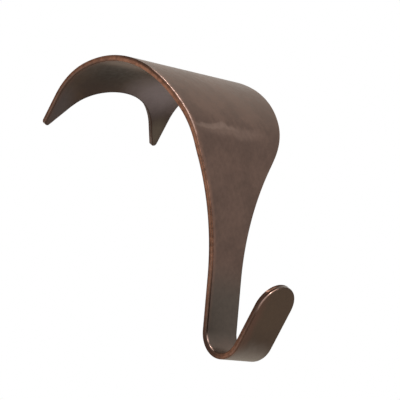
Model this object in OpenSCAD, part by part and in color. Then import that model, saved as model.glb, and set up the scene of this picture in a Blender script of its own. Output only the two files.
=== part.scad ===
// Picture rail hook: one strip of sheet, cut to a shaped blank and folded in one piece.
// The strip runs from the rounded end of the lip, round the cord bend, up the leg,
// over the arch and down to the two claws. X is away from the wall, Y along the rail, Z up.
// The origin is the axis of the crown bend, the top of the arch.

/* [Sheet] */
// Thickness of the sheet
sheet_t = 1.5; // [1:0.1:2]
// Rounding of the edges of the sheet
edge_r = 0.3; // [0.15:0.05:0.4]
// Width of the arch across both claws
top_w = 39.5; // [34:0.5:44]

/* [Lip and cord bend] */
// Width of the upturned lip
lip_w = 11.6; // [9:0.1:14]
// Straight length of the lip, its round end included
lip_len = 16.4; // [12:0.1:22]
// Inside radius of the bend that carries the cord
cord_r = 5; // [3.5:0.1:6.5]
// Turn of the cord bend
cord_deg = 151; // [130:1:165]

/* [Leg] */
// Width of the leg at its narrowest
leg_w = 10.6; // [8:0.1:13]
// Straight length of the leg
leg_len = 43; // [36:0.5:52]
// Height on the leg where it begins to widen
flare_from = 12.5; // [6:0.5:18]
// Radius of the hollow side of the leg, in the flat blank
hollow_r = 58; // [50:1:68]
// Radius of the swelling shoulder, in the flat blank
swell_r = 61; // [52:1:70]

/* [Arch] */
// Inside radius of the neck, above the leg
neck_r = 13.5; // [11:0.25:17]
// Turn of the neck
neck_deg = 34.5; // [28:0.5:40]
// Inside radius of the crown
crown_r = 26.5; // [23:0.25:30]
// Turn of the crown
crown_deg = 75.5; // [68:0.5:84]
// Inside radius of the bend down to the claws
brow_r = 16; // [13:0.25:20]
// Turn of the bend down to the claws
brow_deg = 39; // [32:0.5:46]

/* [Claws] */
// Straight length at the end of each claw
claw_len = 8; // [6:0.1:10]
// Depth of the gap between the claws, along the sheet
gap_depth = 13.2; // [11:0.1:15]
// Radius of the gap as a share of the width of the arch
gap_share = 0.45; // [0.4:0.01:0.46]
// Radius of the tip of each claw
tip_r = 0.9; // [0.5:0.05:1]

/* [Hidden] */
copper = [0.36, 0.30, 0.26];
$fn = 180;
// turn between two rows of the wrapped outline, and half of it at a round end
row_deg = 6;
first_deg = row_deg / 2;
// how far the tools stand clear of the sheet
clear = 1;
through = 0.1;
half_round = 45;
coarse_step = 0.01;
half_t = sheet_t / 2;
lip_half = lip_w / 2;
leg_half = leg_w / 2;
top_half = top_w / 2;
half_band = top_half + clear;
vertical = 90;
right_angle = 90;
half_turn = 180;

// The strip as a row of stretches: length on the centre line, turn, radius on the centre line
function bend(inside_r, turn) = [(inside_r + half_t) * abs(turn) * PI / half_turn, turn, inside_r + half_t];
function flat(length) = [length, 0, 0];
to_cord = [flat(lip_len)];
to_leg = concat(to_cord, [bend(cord_r, -cord_deg)]);
to_crown = concat(to_leg, [flat(leg_len), bend(neck_r, neck_deg)]);
stretches = concat(to_crown, [bend(crown_r, crown_deg), bend(brow_r, brow_deg), flat(claw_len)]);
cord = len(to_cord);
leg = len(to_leg);
crown = len(to_crown);
last = len(stretches) - 1;

// Where each stretch starts: distance along the strip, direction of travel, place in the side view
function starts(i) = i == 0 ? 0 : starts(i - 1) + stretches[i - 1][0];
function headings(i) = i == 0 ? vertical + cord_deg : headings(i - 1) + stretches[i - 1][1];
function along(a) = [cos(a), sin(a)];
function across(a) = [sin(a), -cos(a)];
function arc(r, a, turn) = r * sign(turn) * (across(a + turn) - across(a));
function run(i, part) = stretches[i][1] == 0
  ? stretches[i][0] * part * along(headings(i))
  : arc(stretches[i][2], headings(i), stretches[i][1] * part);
function walk(i) = i == 0 ? [0, 0] : walk(i - 1) + run(i - 1, 1);
start = [for (i = [0:last]) starts(i)];
heading = [for (i = [0:last]) headings(i)];
origin = walk(crown) - stretches[crown][2] * across(heading[crown]);
place = [for (i = [0:last]) walk(i) - origin];
strip_len = starts(last + 1);

// A point of the strip: s along it, y across it, off the centre line towards the room
function stretch_at(s) = len([for (i = [1:last]) if (s >= start[i]) i]);
function point(s, y, off) = let (
  i = stretch_at(s),
  part = (s - start[i]) / stretches[i][0],
  a = heading[i] + stretches[i][1] * part,
  q = place[i] + run(i, part) + off * across(a)
) [q[0], y, q[1]];

// Half of the flat blank, as rows of distance along the strip and half width
flare_s = start[leg] + flare_from;
flare_deg = acos(1 - (top_half - leg_half) / (hollow_r + swell_r));
swell_s = flare_s + (hollow_r + swell_r) * sin(flare_deg);
tip_s = strip_len - tip_r;
tip_y = top_half - tip_r;
function ease(part) = (1 - cos(half_turn * part)) / 2;
function steps(from, to, count) = [for (k = [0:count]) from + (to - from) * k / count];
lip_end = [for (a = [first_deg:row_deg:right_angle]) lip_half * [1 - cos(a), sin(a)]];
lip_side = [for (part = steps(0, 1, 18))
  [start[cord] + stretches[cord][0] * part, lip_half + (leg_half - lip_half) * ease(part)]];
hollow = [for (a = steps(0, flare_deg, 16)) [flare_s + hollow_r * sin(a), leg_half + hollow_r * (1 - cos(a))]];
swell = [for (a = steps(flare_deg, 0, 16)) [swell_s - swell_r * sin(a), top_half - swell_r * (1 - cos(a))]];
arch_side = [for (s = steps(swell_s, tip_s, 20)) [s, top_half]];
tip_side = [for (a = steps(0, right_angle, 8)) [tip_s + tip_r * sin(a), tip_y + tip_r * cos(a)]];

// Half of the gap between the claws: an arc, a straight side, the inner round of the tip
gap_r = gap_share * top_w;
gap_s = strip_len - gap_depth + gap_r;
reach = [tip_s - gap_s, tip_y];
gap_deg = half_turn - atan2(reach[1], reach[0]) - acos((gap_r + tip_r) / norm(reach));
gap_arc = [for (a = steps(first_deg, gap_deg, 20)) [gap_s - gap_r * cos(a), gap_r * sin(a)]];
gap_tip = [for (a = steps(right_angle - gap_deg, right_angle - first_deg, 5))
  [tip_s + tip_r * sin(a), tip_y - tip_r * cos(a)]];

// Leaves out a row that falls on the one before it
function rising(rows) = [for (i = [0:len(rows) - 1]) if (i == 0 || rows[i][0] > rows[i - 1][0] + 0.001) rows[i]];
blank_rows = rising(concat(lip_end, lip_side, hollow, swell, arch_side, tip_side));
gap_rows = concat(gap_arc, gap_tip, [[strip_len + clear, tip_y]]);

// Levels of a tool through the sheet: how far its side stands in, and how far off the centre line.
// The two turned-in corners round the edge of the sheet and pass out through its face.
part_in = edge_r * (1 - sin(half_round));
run_out = edge_r + through / tan(half_round / 2);
upper = [[run_out, half_t + clear], [run_out, half_t + through], [part_in, half_t - part_in], [0, half_t - edge_r]];
function turned(list) = [for (i = [len(list) - 1:-1:0]) list[i]];
levels = concat(upper, [for (level = turned(upper)) [level[0], -level[1]]]);
ring = concat([for (level = levels) [1, level]], [for (level = turned(levels)) [-1, level]]);

// The way in from the side of an outline at row i, square to it
function inward(rows, i) = let (
  step = rows[min(i + 1, len(rows) - 1)] - rows[max(i - 1, 0)]
) [step[1], -step[0]] / norm(step);

// A tool as wide as its rows and thicker than the sheet, bent along with the strip.
// Into is 1 where the sheet lies inside the tool and -1 where it lies outside.
module wrapped(rows, into) {
  around = len(ring);
  end = around * (len(rows) - 1);
  points = [for (i = [0:len(rows) - 1], c = ring) let (
    q = rows[i] + into * c[1][0] * inward(rows, i)
  ) point(q[0], q[1] * c[0], c[1][1])];
  sides = [for (i = [0:around:end - around], c = [0:around - 1]) let (
    a = i + c,
    b = i + (c + 1) % around
  ) each [[a, b + around, b], [a, a + around, b + around]]];
  ends = [for (c = [0:len(levels) - 2]) let (
    d = around - 1 - c
  ) each [[c, c + 1, d - 1, d], [end + d, end + d - 1, end + c + 1, end + c]]];
  polyhedron(points, concat(sides, ends));
}

// Each stretch is set down in a coarse and a fine move, so that neighbours meet exactly
// where figures are kept to six digits
function coarse(v) = round(v / coarse_step) * coarse_step;
module at(p) {
  translate([coarse(p[0]), 0, coarse(p[1])])
    translate([p[0] - coarse(p[0]), 0, p[1] - coarse(p[1])])
      rotate([right_angle, 0, 0])
        children();
}

// The half of a round slab to the left of a line through p, running towards a
module left_of(p, a, r) {
  at(p)
    rotate_extrude(angle = half_turn, start = a)
      translate([0, -half_band])
        square([r, 2 * half_band]);
}

// A straight stretch of the sheet with a free end, from p towards a
module free_end(p, a, length) {
  intersection() {
    left_of(p + half_t * across(a), a, length);
    left_of(p - half_t * across(a), a + half_turn, length);
    left_of(p, a - right_angle, length);
  }
}

// The upright stretch of the sheet
module upright(i) {
  at(place[i])
    translate([-half_t, 0, -half_band])
      cube([sheet_t, stretches[i][0], 2 * half_band]);
}

// A bent stretch of the sheet, round its own axis
module bent(i) {
  turn = stretches[i][1];
  at(place[i] - sign(turn) * stretches[i][2] * across(heading[i]))
    rotate_extrude(angle = abs(turn), start = turn > 0 ? heading[i] - right_angle : heading[i] + right_angle + turn)
      translate([stretches[i][2] - half_t, -half_band])
        square([sheet_t, 2 * half_band]);
}

// A core inside the sheet, across the meeting of two stretches
module core(i) {
  at(place[i])
    rotate([0, 0, heading[i]])
      cube([sheet_t, half_t, top_w], center = true);
}

module sheet() {
  free_end(place[cord], heading[cord] + half_turn, lip_len + clear);
  bent(cord);
  upright(leg);
  for (i = [leg + 1:last - 1]) bent(i);
  free_end(place[last], heading[last], claw_len + clear);
  for (i = [1:last]) core(i);
}

module hook() {
  color(copper)
    difference() {
      intersection() {
        sheet();
        wrapped(blank_rows, 1);
      }
      wrapped(gap_rows, -1);
    }
}

hook();
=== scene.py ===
"""The looks of a one-piece moulding hook, folded from a shaped strip of antiqued copper.

The strip is laid out flat, as it is cut, with every edge rounded, and a Geometry Nodes tree then
folds it along its length. The strip's lengths are millimetres until its mesh is made, which is in
metres, as the studio is.
"""

import logging
import math
from collections.abc import Callable, Iterable
from dataclasses import dataclass, field
from enum import Enum
from typing import Any

import bpy
from mathutils import Euler, Matrix, Vector

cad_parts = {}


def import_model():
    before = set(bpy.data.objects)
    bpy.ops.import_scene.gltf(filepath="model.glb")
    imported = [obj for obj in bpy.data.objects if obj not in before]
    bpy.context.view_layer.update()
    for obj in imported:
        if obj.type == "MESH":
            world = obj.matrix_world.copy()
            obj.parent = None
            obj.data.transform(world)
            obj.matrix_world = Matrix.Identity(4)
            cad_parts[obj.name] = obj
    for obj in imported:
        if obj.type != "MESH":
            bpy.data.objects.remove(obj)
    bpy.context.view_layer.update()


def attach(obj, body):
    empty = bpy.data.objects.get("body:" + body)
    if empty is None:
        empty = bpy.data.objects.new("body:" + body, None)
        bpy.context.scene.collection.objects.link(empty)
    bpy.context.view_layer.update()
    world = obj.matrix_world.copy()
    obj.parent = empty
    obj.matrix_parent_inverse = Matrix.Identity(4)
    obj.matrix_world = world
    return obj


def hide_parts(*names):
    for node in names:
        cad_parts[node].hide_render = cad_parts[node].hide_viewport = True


LOG = logging.getLogger("moulding_hook")
MM = 0.001

# Too short a length, or too small an angle, to matter.
TINY = 1e-6

# A point on the flat strip, along and across it, and a point of its outline with the direction
# that leads out of the sheet there.
Point = tuple[float, float]
OutlinePoint = tuple[Point, Point]
Place = tuple[float, float, float]

# Where a node takes an input from: an output socket, or a node for its first output in use.
Source = bpy.types.NodeSocket | bpy.types.Node

# The nodes that come up most, and their usual settings.
MATH = "ShaderNodeMath"
VECTOR = "ShaderNodeVectorMath"
RANGE = "ShaderNodeMapRange"
MIX = "ShaderNodeMix"
NOISE = "ShaderNodeTexNoise"
PLUS = {"operation": "ADD"}
MINUS = {"operation": "SUBTRACT"}
TIMES = {"operation": "MULTIPLY"}
TIMES_PLUS = {"operation": "MULTIPLY_ADD"}
OVER = {"operation": "DIVIDE"}
LARGER = {"operation": "MAXIMUM"}
SINE = {"operation": "SINE"}
COSINE = {"operation": "COSINE"}
SCALED = {"operation": "SCALE"}
SMOOTH = {"interpolation_type": "SMOOTHSTEP"}
COLOUR = {"data_type": "RGBA"}


def linear(hex_colour: str) -> tuple[float, float, float, float]:
    """Turns an sRGB hex colour to linear light.

    Args:
        hex_colour: A colour such as "#8a5238".

    Returns:
        Red, green, blue and alpha for a shader's colour socket.
    """
    parts = [int(hex_colour[i : i + 2], 16) / 255 for i in (1, 3, 5)]
    red, green, blue = (p / 12.92 if p <= 0.04045 else ((p + 0.055) / 1.055) ** 2.4 for p in parts)
    return (red, green, blue, 1.0)


def in_use(sockets: Iterable[bpy.types.NodeSocket], key: str | int = 0) -> bpy.types.NodeSocket:
    """Finds a socket by its name, or by its number, among those that the node's settings use."""
    used = [socket for socket in sockets if socket.enabled]
    return used[key if isinstance(key, int) else [socket.name for socket in used].index(key)]


def add(
    tree: bpy.types.NodeTree,
    kind: str,
    settings: dict[str, Any] | None = None,
    inputs: dict[Any, Any] | None = None,
) -> bpy.types.Node:
    """Adds a node with its settings and links.

    Args:
        tree: The tree that gets the node.
        kind: The node's type name.
        settings: The node's own properties, by name.
        inputs: What goes into its sockets, by name or number: a value, an output socket, or a
            node for its first output in use.

    Returns:
        The new node.
    """
    node = tree.nodes.new(kind)
    for name, value in (settings or {}).items():
        setattr(node, name, value)
    for key, value in (inputs or {}).items():
        target = in_use(node.inputs, key)
        source = in_use(value.outputs) if isinstance(value, bpy.types.Node) else value
        if isinstance(source, bpy.types.NodeSocket):
            tree.links.new(source, target)
        else:
            target.default_value = source
    return node


def empty_tree(owner: bpy.types.Material | bpy.types.World) -> bpy.types.NodeTree:
    """Gives a material or a world a node tree with nothing in it.

    Args:
        owner: The material or the world.

    Returns:
        Its tree.
    """
    owner.use_nodes = True
    owner.node_tree.nodes.clear()
    return owner.node_tree


def put(name: str, data: bpy.types.ID) -> bpy.types.Object:
    """Puts a new object into the scene, at the origin.

    Args:
        name: The object's name.
        data: Its mesh, lamp or camera.

    Returns:
        The object.
    """
    item = bpy.data.objects.new(name, data)
    bpy.context.scene.collection.objects.link(item)
    return item


class Fold(Enum):
    """The stretches of the strip in their order, from the lip to the claws."""

    LIP = "Lip"
    CORD = "Cord bend"
    LEG = "Leg"
    NECK = "Neck"
    CROWN = "Crown"
    BROW = "Brow"
    CLAW = "Claws"


# How far apart the rows of the strip's mesh stand: close in the tight bends.
ROW_STEP = {
    Fold.LIP: 0.9,
    Fold.CORD: 0.3,
    Fold.LEG: 1.1,
    Fold.NECK: 0.7,
    Fold.CROWN: 0.8,
    Fold.BROW: 0.8,
    Fold.CLAW: 0.8,
}


@dataclass(frozen=True)
class Stretch:
    """One stretch of the strip: its length on the centre line and how far it turns, in degrees."""

    fold: Fold
    length: float
    turn: float = 0.0

    @classmethod
    def bend(cls, fold: Fold, inside: float, turn: float, sheet: float) -> "Stretch":
        """Makes a bend.

        Args:
            fold: Which stretch it is.
            inside: Its inside radius.
            turn: Its turn in degrees, above zero towards the wall.
            sheet: The thickness of the sheet.

        Returns:
            The stretch, with its length on the centre line.
        """
        return cls(fold, math.radians(abs(turn)) * (inside + sheet / 2), turn)


@dataclass
class SideView:
    """The centre line of the folded strip, seen from its side."""

    sheet: float = 1.5
    lip_length: float = 16.4
    cord_radius: float = 5.0
    cord_turn: float = 151.0
    leg_length: float = 43.0
    neck_radius: float = 13.5
    neck_turn: float = 34.5
    crown_radius: float = 26.5
    crown_turn: float = 75.5
    brow_radius: float = 16.0
    brow_turn: float = 39.0
    claw_length: float = 8.0
    stretches: list[Stretch] = field(init=False)

    def __post_init__(self) -> None:
        """Lists the stretches in their order."""
        self.stretches = [
            Stretch(Fold.LIP, self.lip_length),
            Stretch.bend(Fold.CORD, self.cord_radius, -self.cord_turn, self.sheet),
            Stretch(Fold.LEG, self.leg_length),
            Stretch.bend(Fold.NECK, self.neck_radius, self.neck_turn, self.sheet),
            Stretch.bend(Fold.CROWN, self.crown_radius, self.crown_turn, self.sheet),
            Stretch.bend(Fold.BROW, self.brow_radius, self.brow_turn, self.sheet),
            Stretch(Fold.CLAW, self.claw_length),
        ]

    @property
    def length(self) -> float:
        """The length of the whole strip."""
        return sum(s.length for s in self.stretches)

    @property
    def first_heading(self) -> float:
        """The direction in which the strip sets off from the lip, in degrees."""
        return 90.0 + self.cord_turn

    def start(self, fold: Fold) -> float:
        """Gives the distance along the strip at which a stretch starts."""
        names = [s.fold for s in self.stretches]
        return sum(s.length for s in self.stretches[: names.index(fold)])

    def first_place(self) -> Point:
        """Finds where the lip starts, with the axis of the crown bend as the origin.

        Returns:
            X and Z of the free end of the lip.
        """
        x = z = 0.0
        heading = math.radians(self.first_heading)
        for s in self.stretches:
            if s.fold is Fold.CROWN:
                centre = self.crown_radius + self.sheet / 2
                return (centre * math.sin(heading) - x, -centre * math.cos(heading) - z)
            half = math.radians(s.turn) / 2
            chord = s.length * (math.sin(half) / half if half else 1.0)
            x += chord * math.cos(heading + half)
            z += chord * math.sin(heading + half)
            heading += 2 * half
        raise ValueError("the strip has no crown")


@dataclass
class FlatBlank:
    """The strip before it is folded: X runs along it, Y across it and Z off its centre line."""

    side_view: SideView
    edge_radius: float = 0.3
    lip_width: float = 11.6
    leg_width: float = 10.6
    top_width: float = 39.5
    flare_from: float = 12.5
    hollow_radius: float = 58.0
    swell_radius: float = 61.0
    gap_depth: float = 13.2
    gap_share: float = 0.45
    tip_radius: float = 0.9

    # The mesh: its columns from the middle to a side and how evenly they spread, its rows in a
    # claw, at each turn of a claw's tip and on the gap's straight side, and how far short of the
    # gap the rows of the body end.
    columns: int = 12
    evenness: float = 0.6
    claw_rows: int = 28
    turn_rows: int = 4
    flank_rows: int = 6
    chevron: float = 8.0

    # The angles where the lip's round end and a claw's round tip pass from a side to the end.
    end_angle: float = 62.0
    tip_from: float = 64.0
    tip_to: float = -30.0

    # The loops round the edge: the cuts of its rounding, the gap to the loops that brace it, and
    # the innermost loop on the face and on the cut.
    edge_cuts: int = 6
    edge_brace: float = 0.05
    inner_loop: float = 0.45
    cut_loop: float = 0.16

    def half_width(self, s: float) -> float:
        """Gives half of the strip's width, past the round end of the lip.

        Args:
            s: The distance along the strip.

        Returns:
            Half of its width there.
        """
        lip, leg, top = self.lip_width / 2, self.leg_width / 2, self.top_width / 2
        cord, foot = self.side_view.start(Fold.CORD), self.side_view.start(Fold.LEG)
        if s <= cord:
            return lip
        if s <= foot:
            return lip + (leg - lip) * (1 - math.cos(math.pi * (s - cord) / (foot - cord))) / 2
        along = s - foot - self.flare_from
        turn = math.acos(1 - (top - leg) / (self.hollow_radius + self.swell_radius))
        if along <= 0:
            return leg
        if along <= self.hollow_radius * math.sin(turn):
            return leg + self.hollow_radius - math.sqrt(self.hollow_radius**2 - along**2)
        left = (self.hollow_radius + self.swell_radius) * math.sin(turn) - along
        if left <= 0:
            return top
        return top - self.swell_radius + math.sqrt(self.swell_radius**2 - left**2)

    def side(self, s: float) -> OutlinePoint:
        """Finds a point of the strip's side.

        Args:
            s: The distance along the strip.

        Returns:
            The point and its outward direction.
        """
        nudge = 0.01
        slope = (self.half_width(s + nudge) - self.half_width(s - nudge)) / (2 * nudge)
        size = math.hypot(slope, 1.0)
        return (s, self.half_width(s)), (-slope / size, 1 / size)

    def round_lip(self, angle: float) -> OutlinePoint:
        """Gives a point of the lip's round end, by its angle from the middle."""
        r, a = self.lip_width / 2, math.radians(angle)
        return (r * (1 - math.cos(a)), r * math.sin(a)), (-math.cos(a), math.sin(a))

    def round_tip(self, angle: float) -> OutlinePoint:
        """Finds a point of a claw's round tip.

        Args:
            angle: The point's angle from the strip's own direction.

        Returns:
            The point and its outward direction.
        """
        r, a = self.tip_radius, math.radians(angle)
        x, y = self.side_view.length - r, self.top_width / 2 - r
        return (x + r * math.cos(a), y + r * math.sin(a)), (math.cos(a), math.sin(a))

    def gap(self, angle: float) -> OutlinePoint:
        """Finds a point of the arc of the gap between the claws.

        Args:
            angle: The point's angle from the middle.

        Returns:
            The point and the direction out of the sheet.
        """
        r, a = self.gap_share * self.top_width, math.radians(angle)
        centre = self.side_view.length - self.gap_depth + r
        return (centre - r * math.cos(a), r * math.sin(a)), (math.cos(a), -math.sin(a))

    def gap_angle(self) -> float:
        """Finds where the gap's arc passes into the straight side of a claw.

        Returns:
            The arc's angle there, in degrees.
        """
        r = self.gap_share * self.top_width
        reach = (self.gap_depth - r - self.tip_radius, self.top_width / 2 - self.tip_radius)
        lean = math.degrees(math.acos((r + self.tip_radius) / math.hypot(*reach)))
        return 180 - math.degrees(math.atan2(reach[1], reach[0])) - lean

    def share(self, column: int) -> float:
        """Gives how far out a column stands, from 0 in the middle to 1 at the side."""
        f = column / self.columns
        return self.evenness * f + (1 - self.evenness) * math.sin(math.pi * f / 2)

    def stations(self) -> list[float]:
        """Spaces the rows of the mesh along the strip.

        Returns:
            The distances along the strip, from the end of the lip's round to the claws.
        """
        lip = self.lip_width / 2
        shortest_row = 0.5
        first = lip - lip * math.cos(math.radians(self.end_angle))
        last = self.side_view.length - self.gap_depth - self.chevron
        starts = {s.fold: self.side_view.start(s.fold) for s in self.side_view.stretches}
        found = [first]
        while found[-1] < last - shortest_row:
            here = [fold for fold, start in starts.items() if start <= found[-1]]
            found.append(found[-1] + ROW_STEP[here[-1]])
        return [first + (s - first) * (last - first) / (found[-1] - first) for s in found]

    def lip_and_flank(self, rows: list[float]) -> list[OutlinePoint]:
        """Walks from the middle of the lip round its end and up the strip's side.

        Args:
            rows: The distances along the strip of the mesh's rows.

        Returns:
            The points of the walk, as far as the claws' first row.
        """
        lip, reach = self.lip_width / 2, math.sin(math.radians(self.end_angle))
        spread = [self.share(column) for column in range(self.columns + 1)]
        walk = [self.round_lip(math.degrees(math.asin(f * reach))) for f in spread]
        for s in rows[1:]:
            angle = math.degrees(math.acos(max(0.0, 1 - s / lip)))
            walk.append(self.round_lip(angle) if s < lip - TINY else self.side(s))
        return walk

    def claw(self, base: float) -> list[OutlinePoint]:
        """Walks up a claw's side, round its tip and back to the middle of the gap.

        Args:
            base: The distance along the strip of the claws' first row.

        Returns:
            The points of the walk, past that row.
        """
        inner, tip = self.gap_angle(), self.side_view.length - self.tip_radius
        straight = self.claw_rows - self.turn_rows
        walk = [self.side(base + (tip - base) * j / straight) for j in range(1, straight + 1)]
        turns = (
            (90.0, self.tip_from, self.turn_rows),
            (self.tip_from, self.tip_to, self.columns),
            (self.tip_to, inner - 90.0, self.turn_rows),
        )
        for start, end, steps in turns:
            walk += [self.round_tip(start + (end - start) * j / steps) for j in range(1, steps + 1)]
        (x0, y0), outwards = self.round_tip(inner - 90.0)
        (x1, y1), _ = self.gap(inner)
        for j in range(1, self.flank_rows + 1):
            part = (x0 + (x1 - x0) * j / self.flank_rows, y0 + (y1 - y0) * j / self.flank_rows)
            walk.append((part, outwards))
        arc = straight - self.flank_rows
        return walk + [self.gap(inner * (1 - j / arc)) for j in range(1, arc + 1)]

    def levels(self) -> list[Point]:
        """Lists the loops that run round the edge, from the room's side to the wall's.

        Returns:
            How far each loop stands in from the outline and off the centre line.
        """
        half, r = self.side_view.sheet / 2, self.edge_radius
        turns = [math.pi / 2 * i / self.edge_cuts for i in range(self.edge_cuts + 1)]
        upper = [
            (self.inner_loop, half),
            (r + self.edge_brace, half),
            *((r - r * math.sin(a), half - r + r * math.cos(a)) for a in turns),
            (0.0, half - r - self.edge_brace),
            (0.0, self.cut_loop),
        ]
        return upper + [(inset, -off) for inset, off in reversed(upper)]

    def mesh(self, name: str) -> bpy.types.Mesh:
        """Makes the flat strip, with an attribute that holds the distance from its outline.

        Args:
            name: The mesh's name.

        Returns:
            The mesh, in metres.
        """
        rows = self.stations()
        walk = self.lip_and_flank(rows) + self.claw(rows[-1])
        outline = walk + [((p[0], -p[1]), (n[0], -n[1])) for p, n in reversed(walk[1:-1])]
        around = len(outline)
        levels = self.levels()
        points: list[Place] = []
        for inset, off in levels:
            points += [(p[0] - inset * n[0], p[1] - inset * n[1], off) for p, n in outline]
        faces: list[tuple[int, ...]] = []
        for level in range(len(levels) - 1):
            for i in range(around):
                a, b = level * around + i, level * around + (i + 1) % around
                faces.append((a, b, b + around, a + around))
        for level, outwards in ((0, True), (len(levels) - 1, False)):
            face = BroadFace(self, points, level * around, len(walk) - 1, len(rows) - 1)
            faces += face.quads(outwards)
        mesh = bpy.data.meshes.new(name)
        mesh.from_pydata([tuple(v * MM for v in p) for p in points], [], faces)
        mesh.polygons.foreach_set("use_smooth", [True] * len(faces))
        inset_of = mesh.attributes.new("inset", "FLOAT", "POINT")
        inset_of.data.foreach_set("value", self.insets(points, outline, levels))
        mesh.validate()
        return mesh

    @staticmethod
    def insets(
        points: list[Place], outline: list[OutlinePoint], levels: list[Point]
    ) -> list[float]:
        """Measures how far in from the outline each point lies.

        Args:
            points: Every point of the mesh, the loops first.
            outline: The outline's points.
            levels: The loops.

        Returns:
            A distance in millimetres for each point.
        """
        found = [inset for inset, _ in levels for _ in outline]
        for x, y, _ in points[len(found) :]:
            found.append(min(math.hypot(x - p[0], y - p[1]) for p, _ in outline))
        return found


@dataclass
class BroadFace:
    """One broad face of the flat strip: rows of quads inside the loop that runs round it.

    The loop sets off in the middle of the lip, goes up one side to the middle of the gap, and
    comes back down the other. `points` are the mesh's and gain the inner ones, `base` is the
    number of the loop's first point, `last` the step that reaches the middle of the gap, and
    `rows` counts the rows before the claws. The rows bow with the lip over `lip_blend` and turn
    to a chevron over `gap_blend`, in millimetres.
    """

    blank: FlatBlank
    points: list[Place]
    base: int
    last: int
    rows: int
    lip_blend: float = 9.0
    gap_blend: float = 30.0

    def rim(self, step: int, sign: int) -> int:
        """Gives the loop's point at a step from the lip's middle, on one side."""
        return self.base + (step if sign > 0 else -step % (2 * self.last))

    def inner(self, x: float, y: float) -> int:
        """Puts a new point inside the loop and gives its number."""
        self.points.append((x, y, self.points[self.base][2]))
        return len(self.points) - 1

    def body(self) -> list[list[int]]:
        """Lays the rows from the lip to the claws.

        Returns:
            The points of each row, from one side to the other.
        """
        side = self.blank.columns
        flank = self.points[self.base + side : self.base + side + self.rows + 1]
        corner, root, apex = flank[0][0], flank[-1][0], self.points[self.base + self.last][0]
        bowed_rows = sum(x < corner + self.lip_blend for x, _, _ in flank)
        laid = []
        for r, (x, y, _) in enumerate(flank):
            bow = max(0.0, 1 - r / bowed_rows)
            pull = max(0.0, 1 - (root - x) / self.gap_blend) * (apex - root)
            row = []
            for column in range(-side, side + 1):
                c, sign = abs(column), 1 if column >= 0 else -1
                if c == side or r == 0:
                    row.append(self.rim(c + r, sign))
                elif r == self.rows and c == 0:
                    row.append(self.base + self.last)
                else:
                    f, arc = self.blank.share(c), self.points[self.base + c][0] - corner
                    row.append(self.inner(x + bow * arc + pull * (1 - f), sign * f * y))
            laid.append(row)
        return laid

    def claw(self, root: list[int], sign: int) -> list[list[int]]:
        """Lays the rows of one claw, between the gap and its side.

        Args:
            root: The points of its first row, from the gap's middle outwards.
            sign: Which claw it is, 1 or -1.

        Returns:
            The points of each row.
        """
        side, rows = self.blank.columns, self.blank.claw_rows
        laid = [root]
        for j in range(1, rows):
            ends = (self.rim(self.last - j, sign), self.rim(side + self.rows + j, sign))
            (x0, y0, _), (x1, y1, _) = (self.points[end] for end in ends)
            spread = [self.blank.share(c) for c in range(1, side)]
            middle = [self.inner(x0 + (x1 - x0) * f, y0 + (y1 - y0) * f) for f in spread]
            laid.append([ends[0], *middle, ends[1]])
        laid.append([self.rim(self.last - rows - c, sign) for c in range(side + 1)])
        return laid if sign > 0 else [row[::-1] for row in laid]

    def quads(self, outwards: bool) -> list[tuple[int, ...]]:
        """Fills the face.

        Args:
            outwards: Whether it looks towards the room.

        Returns:
            Its faces.
        """
        body, side = self.body(), self.blank.columns
        sheets = [body]
        for sign in (1, -1):
            root = [body[-1][side + sign * c] for c in range(side + 1)]
            sheets.append(self.claw(root, sign))
        found: list[tuple[int, ...]] = []
        for sheet in sheets:
            for near, far in zip(sheet, sheet[1:]):
                for quad in zip(near, far, far[1:], near[1:]):
                    found.append(quad if outwards else quad[::-1])
        return found


def declare(tree: bpy.types.NodeTree, way: str, kind: str, *names: str) -> None:
    """Gives a node group its named sockets.

    Args:
        tree: The group.
        way: "INPUT" or "OUTPUT".
        kind: What the sockets carry, such as "Float".
        names: Their names.
    """
    for name in names:
        tree.interface.new_socket(name, in_out=way, socket_type=f"NodeSocket{kind}")


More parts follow.
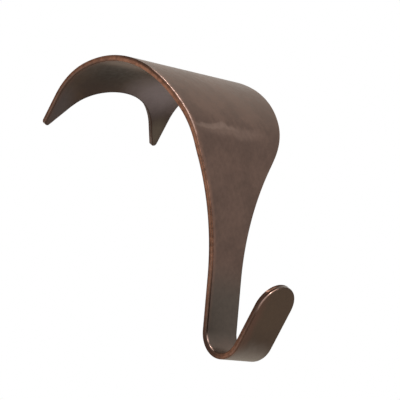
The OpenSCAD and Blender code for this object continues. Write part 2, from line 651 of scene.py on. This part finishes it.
@dataclass
class FoldingTree:
    """The Geometry Nodes tree that folds a flat strip, one stretch after another."""

    side_view: SideView

    def stretch_group(self) -> bpy.types.NodeTree:
        """Makes the group that carries a point over one stretch.

        Returns:
            The group. It passes on the place and heading that the point has reached.
        """
        tree = bpy.data.node_groups.new("Fold one stretch", "GeometryNodeTree")
        declare(tree, "INPUT", "Float", "Distance", "Start", "Length", "Turn", "Heading")
        declare(tree, "INPUT", "Vector", "Place")
        declare(tree, "OUTPUT", "Float", "End", "Heading")
        declare(tree, "OUTPUT", "Vector", "Place")
        given = add(tree, "NodeGroupInput").outputs
        past = add(tree, MATH, MINUS, {0: given["Distance"], 1: given["Start"]})
        limits = {"Value": past, "Min": 0.0, "Max": given["Length"]}
        run = add(tree, "ShaderNodeClamp", None, limits)
        part = add(tree, MATH, OVER, {0: run, 1: given["Length"]})
        turned = add(tree, MATH, TIMES, {0: part, 1: given["Turn"]})

        # The chord of the arc so far. Half of the turn is kept off zero for the straight ones.
        half = add(tree, MATH, TIMES_PLUS, {0: turned, 1: 0.5, 2: TINY})
        bow = add(tree, MATH, OVER, {0: add(tree, MATH, SINE, {0: half}), 1: half})
        chord = add(tree, MATH, TIMES, {0: bow, 1: run})
        aim = add(tree, MATH, PLUS, {0: given["Heading"], 1: half})
        bearing = {"X": add(tree, MATH, COSINE, {0: aim}), "Z": add(tree, MATH, SINE, {0: aim})}
        way = add(tree, "ShaderNodeCombineXYZ", None, bearing)
        step = add(tree, VECTOR, SCALED, {0: way, "Scale": chord})
        reached = {
            "End": add(tree, MATH, PLUS, {0: given["Start"], 1: given["Length"]}),
            "Heading": add(tree, MATH, PLUS, {0: given["Heading"], 1: turned}),
            "Place": add(tree, VECTOR, PLUS, {0: given["Place"], 1: step}),
        }
        add(tree, "NodeGroupOutput", None, reached)
        return tree

    def build(self) -> bpy.types.NodeTree:
        """Builds the whole tree.

        Returns:
            The tree. Its inputs are the strip, its finish, the first place and heading, and each
            stretch's length and turn.
        """
        tree = bpy.data.node_groups.new("Fold the strip", "GeometryNodeTree")
        tree.is_modifier = True
        names = [stretch.fold.value for stretch in self.side_view.stretches]
        sizes = [f"{name} {size}" for name in names for size in ("length", "turn")]
        declare(tree, "INPUT", "Geometry", "Geometry")
        declare(tree, "INPUT", "Material", "Finish")
        declare(tree, "INPUT", "Vector", "First place")
        declare(tree, "INPUT", "Float", "First heading", *sizes)
        declare(tree, "OUTPUT", "Geometry", "Geometry")
        given = add(tree, "NodeGroupInput").outputs

        # The flat place is kept, because the finish is drawn on the flat strip.
        position = add(tree, "GeometryNodeInputPosition")
        vectors = {"data_type": "FLOAT_VECTOR", "domain": "POINT"}
        stored = {"Geometry": given["Geometry"], "Name": "blank", "Value": position}
        kept = add(tree, "GeometryNodeStoreNamedAttribute", vectors, stored)
        flat = add(tree, "ShaderNodeSeparateXYZ", None, {0: position}).outputs

        # Each stretch carries the point on from where the stretch before it left off.
        group = {"node_tree": self.stretch_group()}
        reached = {"Start": 0.0, "Heading": given["First heading"], "Place": given["First place"]}
        for name in names:
            own = {"Length": given[f"{name} length"], "Turn": given[f"{name} turn"]}
            passed = {"Distance": flat["X"], **own, **reached}
            step = add(tree, "GeometryNodeGroup", group, passed).outputs
            reached = {"Start": step["End"], "Heading": step["Heading"], "Place": step["Place"]}

        # Then the point steps off the centre line, towards the room and across the strip.
        cosine = add(tree, MATH, COSINE, {0: reached["Heading"]})
        square = {
            "X": add(tree, MATH, SINE, {0: reached["Heading"]}),
            "Z": add(tree, MATH, TIMES, {0: cosine, 1: -1.0}),
        }
        room = add(tree, "ShaderNodeCombineXYZ", None, square)
        lift = add(tree, VECTOR, SCALED, {0: room, "Scale": flat["Z"]})
        across = add(tree, "ShaderNodeCombineXYZ", None, {"Y": flat["Y"]})
        off = add(tree, VECTOR, PLUS, {0: lift, 1: across})
        place = add(tree, VECTOR, PLUS, {0: reached["Place"], 1: off})
        moved = {"Geometry": kept, "Position": place}
        folded = add(tree, "GeometryNodeSetPosition", None, moved)
        whole = add(tree, "GeometryNodeRealizeInstances", None, {"Geometry": folded})
        finished = {"Geometry": whole, "Material": given["Finish"]}
        dressed = add(tree, "GeometryNodeSetMaterial", None, finished)
        add(tree, "NodeGroupOutput", None, {"Geometry": dressed})
        return tree

    def fold(
        self, blank: bpy.types.Mesh, finish: bpy.types.Material, name: str
    ) -> bpy.types.Object:
        """Folds a flat strip and keeps the result as a plain mesh.

        Args:
            blank: The flat strip.
            finish: Its material.
            name: The piece's name.

        Returns:
            The folded piece.
        """
        tree = self.build()
        piece = put(name, blank)
        modifier = piece.modifiers.new("Fold", "NODES")
        modifier.node_group = tree
        x, z = self.side_view.first_place()
        values: dict[str, Any] = {
            "Finish": finish,
            "First place": (x * MM, 0.0, z * MM),
            "First heading": math.radians(self.side_view.first_heading),
        }
        for stretch in self.side_view.stretches:
            values[f"{stretch.fold.value} length"] = stretch.length * MM
            values[f"{stretch.fold.value} turn"] = math.radians(stretch.turn)
        for item in tree.interface.items_tree:
            if item.item_type == "SOCKET" and item.in_out == "INPUT" and item.name in values:
                modifier[item.identifier] = values[item.name]
        piece.update_tag()
        graph = bpy.context.evaluated_depsgraph_get()
        mesh = bpy.data.meshes.new_from_object(
            piece.evaluated_get(graph), preserve_all_data_layers=True, depsgraph=graph
        )
        piece.modifiers.remove(modifier)
        piece.data = mesh
        mesh.name = name
        bpy.data.meshes.remove(blank)
        return piece


@dataclass(frozen=True)
class Span:
    """Two values between which a look changes from none to full."""

    none: float
    full: float

    def of(self, value: Source, least: float = 0.0, most: float = 1.0) -> dict[str, Any]:
        """Gives the inputs that turn a value to its place in the span, from least to most."""
        ends = {"From Min": self.none, "From Max": self.full, "To Min": least, "To Max": most}
        return {"Value": value, **ends}


@dataclass(frozen=True)
class Grain:
    """A noise pattern: its repeats in a millimetre, its fine detail and how rough that is."""

    per_mm: float
    detail: float
    rough: float = 0.5

    def at(self, place: Source) -> dict[str, Any]:
        """Gives the inputs that draw it at a place in millimetres."""
        size = {"Scale": self.per_mm, "Detail": self.detail, "Roughness": self.rough}
        return {"Vector": place, **size}


@dataclass(frozen=True)
class Patch:
    """A soft-edged patch on the flat strip, in millimetres along, across and off.

    `amount` is its strength in the middle, and `soft` the share of its reach in which it fades.
    """

    centre: Place
    reach: Place
    amount: float = 1.0
    soft: float = 0.8

    def strength(self, tree: bpy.types.NodeTree, place: Source) -> Source:
        """Builds the patch's strength.

        Args:
            tree: The material's tree.
            place: The place on the flat strip, in millimetres.

        Returns:
            The strength, full in the middle and none at the patch's reach.
        """
        away = add(tree, VECTOR, MINUS, {0: place, 1: self.centre})
        part = add(tree, VECTOR, OVER, {0: away, 1: self.reach})
        far = add(tree, VECTOR, {"operation": "LENGTH"}, {0: part})
        return add(tree, RANGE, SMOOTH, Span(1.0, 1.0 - self.soft).of(far, 0.0, self.amount))


@dataclass(frozen=True)
class EdgeStop:
    """How the cut edge looks at one place along the strip.

    `share` is the place as a share of the strip's length, `copper` how much bare copper shows,
    `filled` how much painted shade darkens the room-side corner, `across` where the copper line
    runs between the wall side (0) and the room side (1), and `bright` how far the room-side
    corner is polished by touch and given a painted glint.
    """

    share: float
    copper: float
    filled: float
    across: float
    bright: float = 0.0


@dataclass(frozen=True)
class StripPlace:
    """The sockets that tell a shader where on the flat strip it stands, in millimetres.

    `along`, `sideways` and `off` are the three parts of `place`, `inset` is the distance in from
    the outline, and `room` is 1 on the room's side and 0 on the wall's.
    """

    tree: bpy.types.NodeTree
    place: Source
    along: Source
    sideways: Source
    off: Source
    inset: Source
    room: Source

    @classmethod
    def read(cls, tree: bpy.types.NodeTree) -> "StripPlace":
        """Adds the nodes that read the two stored attributes.

        Args:
            tree: The material's tree.

        Returns:
            The sockets.
        """
        blank = add(tree, "ShaderNodeAttribute", {"attribute_name": "blank"}).outputs
        inset = add(tree, "ShaderNodeAttribute", {"attribute_name": "inset"}).outputs
        flat = add(tree, VECTOR, SCALED, {0: blank["Vector"], "Scale": 1.0 / MM})
        parts = add(tree, "ShaderNodeSeparateXYZ", None, {0: flat}).outputs
        room = add(tree, RANGE, SMOOTH, Span(-0.5, 0.5).of(parts["Z"]))
        return cls(tree, flat, *parts, inset["Fac"], room)


@dataclass(frozen=True)
class EdgeWear:
    """The sockets that tell a shader how the sheet's edge is worn.

    `on_cut` is 1 on the cut edge, `rounded` is 1 on its corners too, and `room_corner` only on the
    one that faces the room. `open_edge` is 0 in the gap between the claws, where nothing reaches,
    and `near_flank` is 0 on the far flank. `filled`, `across` and `bright` are as in the stops,
    `uneven` is how patchily the edge is rubbed, and `rubbed` how far it is rubbed to the copper.
    """

    on_cut: Source
    rounded: Source
    room_corner: Source
    open_edge: Source
    near_flank: Source
    filled: Source
    across: Source
    bright: Source
    uneven: Source
    rubbed: Source


@dataclass(frozen=True)
class AntiquedCopper:
    """Pressed sheet copper under a brown antique patina, rubbed back where hands and cloths reach.

    To the eye it is a low, faintly cloudy metallic brown. The side that faces the room is the
    lighter and warmer one, the side that faces the wall is darker, partly as painted shade, and the
    cut edge shows the copper in a narrow, uneven line with a painted glint on the polished corner
    where the crown is touched.
    """

    strip_length: float

    # The patina on the room's side and on the wall's, where its darker tone is partly painted
    # shade, the cut edge and its painted glint, the painted shade along its room-side corner, the
    # faces where they are rubbed beside it, and the tone of a grazing reflection.
    relieved: str = "#634f46"
    relieved_cloud: str = "#5a4840"
    bath_and_shade: str = "#43352c"
    bath_and_shade_cloud: str = "#382c26"
    edge_dark: str = "#3f2b22"
    # A painted glint: a pale copper colour laid on the polished corner where a lamp's highlight
    # falls.
    edge_copper: str = "#8a5f4a"
    painted_glint: str = "#f0c9ba"
    # Painted shade: the dark line along the cut edge's room-side corner.
    corner_shade_tone: str = "#24150c"
    front_rub: str = "#7e5f51"
    back_rub: str = "#5f4338"
    glance: str = "#f1ece4"

    # The sheen: the clouds' own range, what the wall side adds, the cut edge and the polish.
    metallic: float = 0.9
    roughness: Point = (0.34, 0.44)
    matt: float = 0.12
    burnished: float = 0.16
    polished: float = 0.26

    # The patterns: clouds of about 9 mm, specks and rubs of about 1 mm, and a 4 mm wave.
    clouds: Grain = Grain(0.11, 4.0, 0.6)
    specks: Grain = Grain(0.9, 3.0, 0.55)
    rubs: Grain = Grain(0.9, 4.0, 0.6)
    waves: Grain = Grain(0.25, 2.0)
    cloud_bounds: Span = Span(0.38, 0.62)
    noise_bounds: Span = Span(0.3, 0.7)
    speck_depth: Point = (0.9, 1.1)
    rub_depth: Point = (0.4, 1.5)
    wave_height: float = 0.1 * MM
    wave_strength: float = 0.3
    wander: float = 5.0

    # Where the parts of the edge lie: by the inset from the outline, then by the height off the
    # centre line, from the wall's side (below 0) to the room's, and last by the place sideways.
    cut: Span = Span(0.3, 0.1)
    corners: Span = Span(0.42, 0.2)
    margin: Span = Span(1.5, 0.2)
    room_corner: Span = Span(0.5, 0.7)
    bathed_corner: Span = Span(0.1, 0.5)
    wall_corner: Span = Span(-0.45, -0.65)
    near_flank: Span = Span(4.0, 2.0)

    # The copper line on the cut edge: its fade to either side, its least strength and how far it
    # strays from the middle. The edge is crowned by a drop that grows with the height squared.
    line: Span = Span(0.95, 0.15)
    line_least: float = 0.1
    line_stray: float = 0.6
    margin_rub: float = 0.6
    crown_drop: float = -0.6

    stops: tuple[EdgeStop, ...] = (
        EdgeStop(0.0, 0.0, 0.4, 0.5, 0.1),
        EdgeStop(0.03, 0.0, 0.5, 0.5, 0.25),
        EdgeStop(0.07, 0.15, 0.3, 0.5, 0.1),
        EdgeStop(0.11, 0.4, 0.1, 0.5),
        EdgeStop(0.14, 0.6, 0.1, 0.4),
        EdgeStop(0.165, 0.35, 0.3, 0.3),
        EdgeStop(0.178, 0.05, 0.4, 0.3),
        EdgeStop(0.19, 0.0, 0.5, 0.3, 0.9),
        EdgeStop(0.2, 0.0, 0.5, 0.3, 0.4),
        EdgeStop(0.21, 0.0, 0.6, 0.3, 0.9),
        EdgeStop(0.225, 0.1, 1.0, 0.4),
        EdgeStop(0.27, 0.35, 0.9, 0.5),
        EdgeStop(0.31, 0.6, 0.5, 0.65),
        EdgeStop(0.35, 0.85, 0.0, 0.75),
        EdgeStop(0.54, 0.9, 0.0, 0.7, 0.1),
        EdgeStop(0.58, 0.9, 0.0, 0.5, 1.0),
        EdgeStop(0.62, 0.9, 0.0, 0.3, 1.0),
        EdgeStop(0.67, 0.9, 0.2, 0.2, 0.6),
        EdgeStop(0.7, 0.9, 0.6, 0.15),
        EdgeStop(0.75, 0.8, 0.4, 0.25),
        EdgeStop(0.79, 0.7, 0.1, 0.5),
        EdgeStop(0.84, 0.6, 0.0, 0.7),
        EdgeStop(0.91, 0.45, 0.0, 0.7),
        EdgeStop(0.97, 0.35, 0.1, 0.6),
    )

    # Where the edge is out of reach, where the lip is polished by fingers and given a painted
    # glint,
    # and patches of another tone on the faces: the room's side first (above 0), then the wall's.
    # Some are painted shade or painted reflection, as marked.
    shielded: Patch = Patch((132.0, 0.0, 0.0), (15.0, 19.6, 3.0), 1.0, 0.2)
    lip_glint: Patch = Patch((3.5, -4.5, -0.6), (4.8, 6.0, 0.9), 0.4, 0.9)
    patches: tuple[tuple[str, Patch], ...] = (
        # Painted shade: darker and greyer low on the leg, where the cord bend shades it.
        ("#534a43", Patch((35.0, 0.0, 0.75), (14.0, 30.0, 0.9))),
        ("#786359", Patch((79.0, -2.0, 0.75), (2.0, 17.0, 0.9), 0.5, 0.8)),
        ("#8a766b", Patch((79.6, -8.0, 0.75), (0.8, 10.0, 0.9), 0.3, 0.6)),
        # The lip's outer face, which faces down: its dark tone is painted shade.
        ("#493a2f", Patch((5.0, 0.0, -0.75), (18.0, 30.0, 0.9))),
        ("#573a30", Patch((9.0, -5.0, -0.75), (13.0, 2.6, 0.9), 0.6, 1.0)),
        # Painted reflection: the outside of the cord bend is lighter and greyer, as a mirrored pale
        # floor would make it.
        ("#746b64", Patch((22.5, 0.0, -0.75), (8.2, 30.0, 0.9))),
        # Painted shade: nearly black inside the crown's arch, on its near side.
        ("#1f1510", Patch((118.5, -10.0, -0.75), (10.0, 12.0, 0.9), 1.0, 1.0)),
        # Painted reflection: a lighter, bluish grey inside the arch, on its far side.
        ("#6b6060", Patch((120.0, 10.5, -0.75), (15.0, 15.0, 0.9))),
        # Painted reflection: a lighter patch inside the arch, towards its near edge.
        ("#69594f", Patch((108.0, -15.0, -0.75), (8.0, 16.0, 0.9))),
        ("#544a40", Patch((135.0, 17.0, -0.75), (6.0, 6.0, 0.9))),
        ("#4c4340", Patch((133.0, -18.0, -0.75), (9.0, 6.0, 0.9))),
    )

    def patina(self, at: StripPlace, speckle: Source) -> Source:
        """Builds the colour of the two faces: the sides' tones, broad clouds, patches and specks.

        Args:
            at: The place on the strip.
            speckle: The noise of the specks and short strokes that a hand-applied patina leaves.

        Returns:
            The colour.
        """
        tree = at.tree
        cloud = add(tree, NOISE, None, self.clouds.at(at.place))
        cloudy = add(tree, RANGE, SMOOTH, self.cloud_bounds.of(cloud))
        front = {"Factor": cloudy, "A": linear(self.relieved), "B": linear(self.relieved_cloud)}
        # The wall side's darker tone is partly painted shade, where it faces down and into the
        # arch.
        back = {"Factor": cloudy, "A": linear(self.bath_and_shade), "B": linear(self.bath_and_shade_cloud)}
        front_tone = add(tree, MIX, COLOUR, front)
        back_tone = add(tree, MIX, COLOUR, back)
        sides = {"Factor": at.room, "A": back_tone, "B": front_tone}
        tone = add(tree, MIX, COLOUR, sides)

        # The patches' outlines wander by as much as the noise's colour strays from its middle.
        stray = (self.wander, self.wander, 0.0)
        middle = (self.wander / 2, self.wander / 2, 0.0)
        push = {0: cloud.outputs["Color"], 1: stray, 2: at.place}
        pushed = add(tree, VECTOR, TIMES_PLUS, push)
        wobbled = add(tree, VECTOR, MINUS, {0: pushed, 1: middle})
        for shade, patch in self.patches:
            laid = {"Factor": patch.strength(tree, wobbled), "A": tone, "B": linear(shade)}
            tone = add(tree, MIX, COLOUR, laid)
        level = add(tree, RANGE, None, self.noise_bounds.of(speckle, *self.speck_depth))
        return add(tree, VECTOR, SCALED, {0: tone, "Scale": level})

    def edge_ramp(self, at: StripPlace) -> bpy.types.Node:
        """Builds the ramp that follows the cut edge from the lip to the claws.

        Args:
            at: The place on the strip.

        Returns:
            The ramp, with copper, filled and across as its colour and bright as its alpha.
        """
        share = add(at.tree, RANGE, None, Span(0.0, self.strip_length).of(at.along))
        ramp = add(at.tree, "ShaderNodeValToRGB", None, {"Fac": share})
        ramp.color_ramp.interpolation = "EASE"
        elements = ramp.color_ramp.elements
        elements.remove(elements[-1])
        for stop in self.stops:
            elements.new(stop.share).color = (stop.copper, stop.filled, stop.across, stop.bright)
        elements.remove(elements[0])
        return ramp

    def edge_wear(self, at: StripPlace) -> EdgeWear:
        """Builds how the edge is worn.

        Args:
            at: The place on the strip.

        Returns:
            The wear.
        """
        tree = at.tree
        ramp = self.edge_ramp(at)
        copper, filled, across = add(tree, "ShaderNodeSeparateColor", None, {0: ramp}).outputs
        shielded = self.shielded.strength(tree, at.place)
        open_edge = add(tree, MATH, MINUS, {0: 1.0, 1: shielded})
        patchy = add(tree, NOISE, None, self.rubs.at(at.place))
        uneven = add(tree, RANGE, None, self.noise_bounds.of(patchy, *self.rub_depth))
        reached = add(tree, MATH, TIMES, {0: copper, 1: open_edge})
        rounded = add(tree, RANGE, SMOOTH, self.corners.of(at.inset))
        above = add(tree, RANGE, SMOOTH, self.room_corner.of(at.off))
        return EdgeWear(
            on_cut=add(tree, RANGE, SMOOTH, self.cut.of(at.inset)),
            rounded=rounded,
            room_corner=add(tree, MATH, TIMES, {0: rounded, 1: above}),
            open_edge=open_edge,
            near_flank=add(tree, RANGE, SMOOTH, self.near_flank.of(at.sideways)),
            filled=filled,
            across=across,
            bright=ramp.outputs["Alpha"],
            uneven=uneven,
            rubbed=add(tree, MATH, TIMES, {0: reached, 1: uneven}),
        )

    def rubbed_faces(self, at: StripPlace, wear: EdgeWear, tone: Source) -> Source:
        """Lays the brushed margin beside the near flank's edge over the patina.

        Args:
            at: The place on the strip.
            wear: How the edge is worn.
            tone: The patina's colour.

        Returns:
            The colour.
        """
        tree = at.tree
        beside = add(tree, RANGE, SMOOTH, self.margin.of(at.inset, 0.0, self.margin_rub))
        swept = add(tree, MATH, TIMES, {0: beside, 1: wear.near_flank})
        brushed = add(tree, MATH, TIMES, {0: swept, 1: wear.rubbed})
        rubs = {"Factor": at.room, "A": linear(self.back_rub), "B": linear(self.front_rub)}
        rub = add(tree, MIX, COLOUR, rubs)
        return add(tree, MIX, COLOUR, {"Factor": brushed, "A": tone, "B": rub})

    def cut_edge(self, at: StripPlace, wear: EdgeWear, tone: Source) -> Source:
        """Lays the cut edge over the faces: a copper line between darker sides.

        Args:
            at: The place on the strip.
            wear: How the edge is worn.
            tone: The faces' colour.

        Returns:
            The colour.
        """
        tree = at.tree
        stray = Span(0.0, 1.0).of(wear.across, -self.line_stray, self.line_stray)
        apart = add(tree, MATH, MINUS, {0: at.off, 1: add(tree, RANGE, None, stray)})
        gap = add(tree, MATH, {"operation": "ABSOLUTE"}, {0: apart})
        line = add(tree, RANGE, SMOOTH, self.line.of(gap, self.line_least))
        shown = add(tree, MATH, TIMES, {0: wear.rubbed, 1: line})
        tones = {"Factor": shown, "A": linear(self.edge_dark), "B": linear(self.edge_copper)}
        cut = add(tree, MIX, COLOUR, tones)
        return add(tree, MIX, COLOUR, {"Factor": wear.on_cut, "A": tone, "B": cut})

    def dark_corner(self, at: StripPlace, wear: EdgeWear, tone: Source) -> Source:
        """Paints shade into the room-side corner as a dark line, and darkens the corner all along
        the far flank.

        Args:
            at: The place on the strip.
            wear: How the edge is worn.
            tone: The colour so far.

        Returns:
            The colour.
        """
        tree = at.tree
        # Painted shade: a dark line along the room-side corner, as deep as the stops set.
        shaded_corner = add(tree, MATH, TIMES, {0: wear.room_corner, 1: wear.filled})
        creases = {"Factor": shaded_corner, "A": tone, "B": linear(self.corner_shade_tone)}
        creased = add(tree, MIX, COLOUR, creases)

        # The far flank's corner takes the wall side's dark tone all along.
        upper = add(tree, RANGE, SMOOTH, self.bathed_corner.of(at.off))
        whole = add(tree, MATH, TIMES, {0: wear.rounded, 1: upper})
        near = add(tree, MATH, TIMES, {0: whole, 1: wear.near_flank})
        far = add(tree, MATH, MINUS, {0: whole, 1: near})
        return add(tree, MIX, COLOUR, {"Factor": far, "A": creased, "B": linear(self.bath_and_shade)})

    def polish_and_glint(self, at: StripPlace, wear: EdgeWear) -> Source:
        """Builds how far the edge's corners are polished by touch, which is also where a painted
        glint goes.

        Args:
            at: The place on the strip.
            wear: How the edge is worn.

        Returns:
            How far it is polished, and so where the painted glint goes: on the near flank's
            room-side corner, and on the lip's outer corner.
        """
        tree = at.tree
        # The painted glint lies only on the near flank's room-side corner, where a lamp's highlight
        # falls.
        touched = add(tree, MATH, TIMES, {0: wear.room_corner, 1: wear.bright})
        reached = add(tree, MATH, TIMES, {0: touched, 1: wear.near_flank})
        worn = add(tree, MATH, TIMES, {0: reached, 1: wear.uneven})
        below = add(tree, RANGE, SMOOTH, self.wall_corner.of(at.off))
        under = add(tree, MATH, TIMES, {0: wear.rounded, 1: below})
        lip_glint = self.lip_glint.strength(tree, at.place)
        lip = add(tree, MATH, TIMES, {0: under, 1: lip_glint})
        return add(tree, MATH, LARGER, {0: worn, 1: lip})

    def sheen(self, at: StripPlace, wear: EdgeWear, speckle: Source, polish_and_glint: Source) -> Source:
        """Builds the roughness: duller in the clouds and by the wall, keener on the edge.

        Args:
            at: The place on the strip.
            wear: How the edge is worn.
            speckle: The noise of the specks.
            polish_and_glint: How far the corners are polished.

        Returns:
            The roughness.
        """
        tree = at.tree
        dull = add(tree, RANGE, None, self.noise_bounds.of(speckle, *self.roughness))
        matt = add(tree, RANGE, None, Span(0.0, 1.0).of(at.room, self.matt, 0.0))
        faces = add(tree, MATH, PLUS, {0: dull, 1: matt})
        handled = add(tree, MATH, TIMES, {0: wear.on_cut, 1: wear.open_edge})
        edged = add(tree, MIX, None, {"Factor": handled, "A": faces, "B": self.burnished})
        return add(tree, MIX, None, {"Factor": polish_and_glint, "A": edged, "B": self.polished})

    def relief(self, at: StripPlace, wear: EdgeWear) -> Source:
        """Builds the surface's relief: a slight wave of the rolled sheet and a crowned cut edge.

        Args:
            at: The place on the strip.
            wear: How the edge is worn.

        Returns:
            The normal.
        """
        tree = at.tree
        wave = add(tree, NOISE, None, self.waves.at(at.place))
        rolled = {"Strength": self.wave_strength, "Distance": self.wave_height, "Height": wave}
        sheet = add(tree, "ShaderNodeBump", None, rolled)
        square = add(tree, MATH, TIMES, {0: at.off, 1: at.off})
        drop = Span(0.0, 1.0).of(square, 0.0, self.crown_drop)
        crown = add(tree, RANGE, {"clamp": False}, drop)
        height = add(tree, MATH, TIMES, {0: crown, 1: wear.on_cut})
        crowned = {"Strength": 1.0, "Distance": MM, "Height": height, "Normal": sheet}
        return add(tree, "ShaderNodeBump", None, crowned)

    def build(self) -> bpy.types.Material:
        """Makes the material.

        Returns:
            The material, which reads the flat strip's own coordinates.
        """
        material = bpy.data.materials.new("antiqued_copper")
        tree = empty_tree(material)
        at = StripPlace.read(tree)
        speckle = add(tree, NOISE, None, self.specks.at(at.place))
        wear = self.edge_wear(at)
        faces = self.rubbed_faces(at, wear, self.patina(at, speckle))
        edged = self.dark_corner(at, wear, self.cut_edge(at, wear, faces))
        polish_and_glint = self.polish_and_glint(at, wear)
        # The polished corners get a painted glint: a pale copper colour in place of a highlight.
        lit = {"Factor": polish_and_glint, "A": edged, "B": linear(self.painted_glint)}
        sockets = {
            "Base Color": add(tree, MIX, COLOUR, lit),
            "Metallic": self.metallic,
            "Roughness": self.sheen(at, wear, speckle, polish_and_glint),
            "Specular Tint": linear(self.glance),
            "Normal": self.relief(at, wear),
        }
        shader = add(tree, "ShaderNodeBsdfPrincipled", None, sockets)
        add(tree, "ShaderNodeOutputMaterial", None, {"Surface": shader})
        return material


@dataclass
class MouldingHook:
    """The whole hook: one strip of sheet, cut to shape and folded."""

    side_view: SideView = field(default_factory=SideView)

    def build(self) -> bpy.types.Object:
        """Cuts, folds and dresses the hook.

        Returns:
            The piece that stands for the CAD node.
        """
        blank = FlatBlank(self.side_view).mesh("flat_blank")
        finish = AntiquedCopper(self.side_view.length).build()
        piece = FoldingTree(self.side_view).fold(blank, finish, "copper_hook")
        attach(piece, "root")
        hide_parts("hook")
        return piece


@dataclass(frozen=True)
class PalePaper:
    """Matt white backdrop paper, in which a faint fibre keeps it from looking like plastic.

    The fibre is 2.5 mm, which is coarser than the real one so that it can show.
    """

    tone: str = "#f7f6f4"
    roughness: float = 0.9
    fibres_per_metre: float = 400.0
    fibre_detail: float = 2.0
    fibre_height: float = 0.2 * MM
    fibre_strength: float = 0.05

    def build(self) -> bpy.types.Material:
        """Makes the material.

        Returns:
            The material, which reads the floor's Object coordinates.
        """
        material = bpy.data.materials.new("backdrop_paper")
        tree = empty_tree(material)
        place = add(tree, "ShaderNodeTexCoord").outputs["Object"]
        size = {"Scale": self.fibres_per_metre, "Detail": self.fibre_detail}
        fibre = add(tree, NOISE, None, {"Vector": place, **size})
        height = {"Strength": self.fibre_strength, "Distance": self.fibre_height}
        raised = {"Height": fibre, **height}
        sockets = {
            "Base Color": linear(self.tone),
            "Roughness": self.roughness,
            "Normal": add(tree, "ShaderNodeBump", None, raised),
        }
        shader = add(tree, "ShaderNodeBsdfPrincipled", None, sockets)
        add(tree, "ShaderNodeOutputMaterial", None, {"Surface": shader})
        return material


@dataclass(frozen=True)
class SoftBox:
    """A soft rectangular lamp: its place and sides in metres, its watts, its bearing and its tone.

    `long_way` is the direction that its first side turns towards, and `aim` is where it points.
    """

    name: str
    place: Place
    sides: Point
    watts: float
    long_way: Place = (1.0, 0.0, 0.0)
    tone: str = "#ffffff"
    aim: Place = (0.01, 0.0, -0.005)

    def build(self) -> bpy.types.Object:
        """Sets the lamp up.

        Returns:
            The lamp.
        """
        data = bpy.data.lights.new(self.name, "AREA")
        data.shape = "RECTANGLE"
        data.size, data.size_y = self.sides
        data.energy = self.watts
        data.color = linear(self.tone)[:3]
        lamp = put(self.name, data)
        lamp.location = self.place
        back = (Vector(self.place) - Vector(self.aim)).normalized()
        side = back.cross(Vector(self.long_way)).normalized()
        lamp.rotation_euler = Matrix((side.cross(back), side, back)).transposed().to_euler()
        return lamp


@dataclass
class Studio:
    """A plain pale set: a paper floor well under the hook, soft lamps and a white surround."""

    floor_height: float = -0.16
    floor_radius: float = 2.4
    floor_sides: int = 96
    surround: float = 0.55
    lamps: tuple[SoftBox, ...] = (
        SoftBox("overhead_softbox", (0.05, -0.10, 0.62), (0.55, 0.55), 2.75, tone="#fff6ea"),
        SoftBox("strip_softbox", (0.22, -0.30, 0.46), (0.6, 0.05), 1.9, (-0.86, 0.315, 0.4)),
    )

    def build(self) -> list[bpy.types.Object]:
        """Sets up the floor, the lamps and the surround.

        Returns:
            The floor and the lamps.
        """
        floor = self.lay_floor()
        self.light_surround()
        return [floor, *(lamp.build() for lamp in self.lamps)]

    def lay_floor(self) -> bpy.types.Object:
        """Lays a round of paper.

        Returns:
            The floor.
        """
        turns = [2 * math.pi * i / self.floor_sides for i in range(self.floor_sides)]
        ring = [(math.cos(a) * self.floor_radius, math.sin(a) * self.floor_radius) for a in turns]
        mesh = bpy.data.meshes.new("paper_floor")
        points = [(x, y, self.floor_height) for x, y in ring]
        mesh.from_pydata(points, [], [tuple(range(self.floor_sides))])
        mesh.materials.append(PalePaper().build())
        floor = put("paper_floor", mesh)
        return floor

    def light_surround(self) -> None:
        """Makes the surround white to the camera and in reflections, and a plain level of light."""
        world = bpy.data.worlds.new("white_surround")
        bpy.context.scene.world = world
        tree = empty_tree(world)
        path = add(tree, "ShaderNodeLightPath").outputs
        seen = add(tree, MATH, LARGER, {0: path["Is Camera Ray"], 1: path["Is Glossy Ray"]})
        shown = add(tree, MATH, LARGER, {0: seen, 1: path["Is Transmission Ray"]})
        strength = add(tree, RANGE, None, Span(0.0, 1.0).of(shown, self.surround, 1.0))
        white = {"Color": linear("#ffffff"), "Strength": strength}
        light = add(tree, "ShaderNodeBackground", None, white)
        add(tree, "ShaderNodeOutputWorld", None, {"Surface": light})


@dataclass(frozen=True)
class Viewpoint:
    """The camera: its place in metres, its turn in degrees and its lens in millimetres."""

    place: Place = (0.3246018, -0.3288338, -0.0380583)
    turn: Place = (94.25259, -5.04358, 42.91756)
    lens: float = 169.344
    sensor: float = 36.0
    nearest: float = 0.01
    farthest: float = 50.0

    def build(self) -> bpy.types.Object:
        """Sets up the camera.

        Returns:
            The camera.
        """
        data = bpy.data.cameras.new("camera")
        data.sensor_width = self.sensor
        data.lens = self.lens
        data.clip_start, data.clip_end = self.nearest, self.farthest
        camera = put("camera", data)
        camera.location = self.place
        camera.rotation_euler = Euler([math.radians(a) for a in self.turn], "XYZ")
        bpy.context.scene.camera = camera
        return camera


def main() -> None:
    """Builds the hook in its studio."""
    logging.basicConfig(level=logging.INFO, format="%(name)s: %(message)s")
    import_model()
    builders: list[Callable[[], Any]] = [Viewpoint().build, MouldingHook().build, Studio().build]
    for build in builders:
        made = build()
        for item in made if isinstance(made, list) else [made]:
            count = f", {len(item.data.polygons)} faces" if item.type == "MESH" else ""
            LOG.info("built %s%s", item.name, count)
    bpy.context.scene.view_settings.view_transform = "Standard"


if __name__ == "__main__":
    main()
